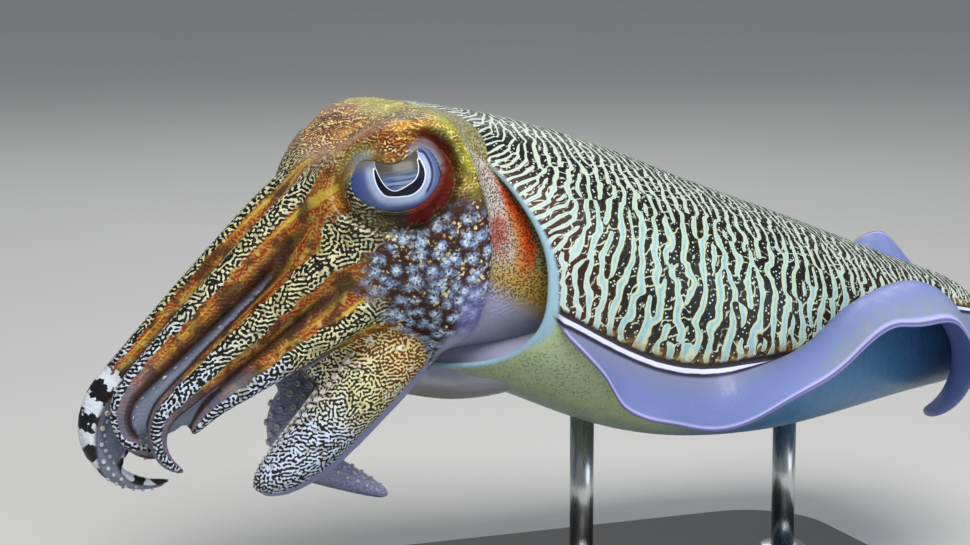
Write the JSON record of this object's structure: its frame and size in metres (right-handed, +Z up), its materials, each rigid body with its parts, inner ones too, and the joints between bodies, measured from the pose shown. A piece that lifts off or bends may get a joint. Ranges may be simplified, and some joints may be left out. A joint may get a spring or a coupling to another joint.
{
  "type": "cuttlefish",
  "caption": "Still life-size model of a cuttlefish hovering with its arms together, on a flat base with two rods.",
  "frame": {"origin": "centre of the stand base's underside", "axes": "+Z up, -X towards the arms, -Y the animal's left side"},
  "size_m": [0.3284, 0.1567, 0.1774],
  "materials": {
    "mantle_skin": "wet skin, dark brown bands between pale mint ones",
    "fin_skin": "smooth translucent lilac skin",
    "head_skin": "wet skin, brown with pale spots",
    "arm_skin": "wet skin, orange brown and pale labyrinth bands",
    "funnel_skin": "smooth grey lilac skin",
    "eye": "glossy, silver blue",
    "pupil": "glossy, dark",
    "stand_base": "satin black",
    "stand_rod": "satin"
  },
  "bodies": {
    "root": {"mantle": "mantle_skin", "neck": "head_skin", "head": "head_skin", "funnel": "funnel_skin", "arm_left_1_base": "arm_skin", "arm_left_1_middle": "arm_skin", "arm_left_1_tip": "arm_skin", "arm_left_2_base": "arm_skin", "arm_left_2_middle": "arm_skin", "arm_left_2_tip": "arm_skin", "arm_left_3_base": "arm_skin", "arm_left_3_middle": "arm_skin", "arm_left_3_tip": "arm_skin", "arm_left_4_base": "arm_skin", "arm_left_4_middle": "arm_skin", "arm_left_4_tip": "arm_skin", "arm_right_1_base": "arm_skin", "arm_right_1_middle": "arm_skin", "arm_right_1_tip": "arm_skin", "arm_right_2_base": "arm_skin", "arm_right_2_middle": "arm_skin", "arm_right_2_tip": "arm_skin", "arm_right_3_base": "arm_skin", "arm_right_3_middle": "arm_skin", "arm_right_3_tip": "arm_skin", "arm_right_4_base": "arm_skin", "arm_right_4_middle": "arm_skin", "arm_right_4_tip": "arm_skin", "eye_left": "eye", "eye_right": "eye", "fin_left_front": "fin_skin", "fin_left_middle": "fin_skin", "fin_left_rear": "fin_skin", "fin_right_front": "fin_skin", "fin_right_middle": "fin_skin", "fin_right_rear": "fin_skin", "pupil_left": "pupil", "pupil_right": "pupil", "stand_base": "stand_base", "stand_rod_front": "stand_rod", "stand_rod_rear": "stand_rod"}
  },
  "joints": []
}
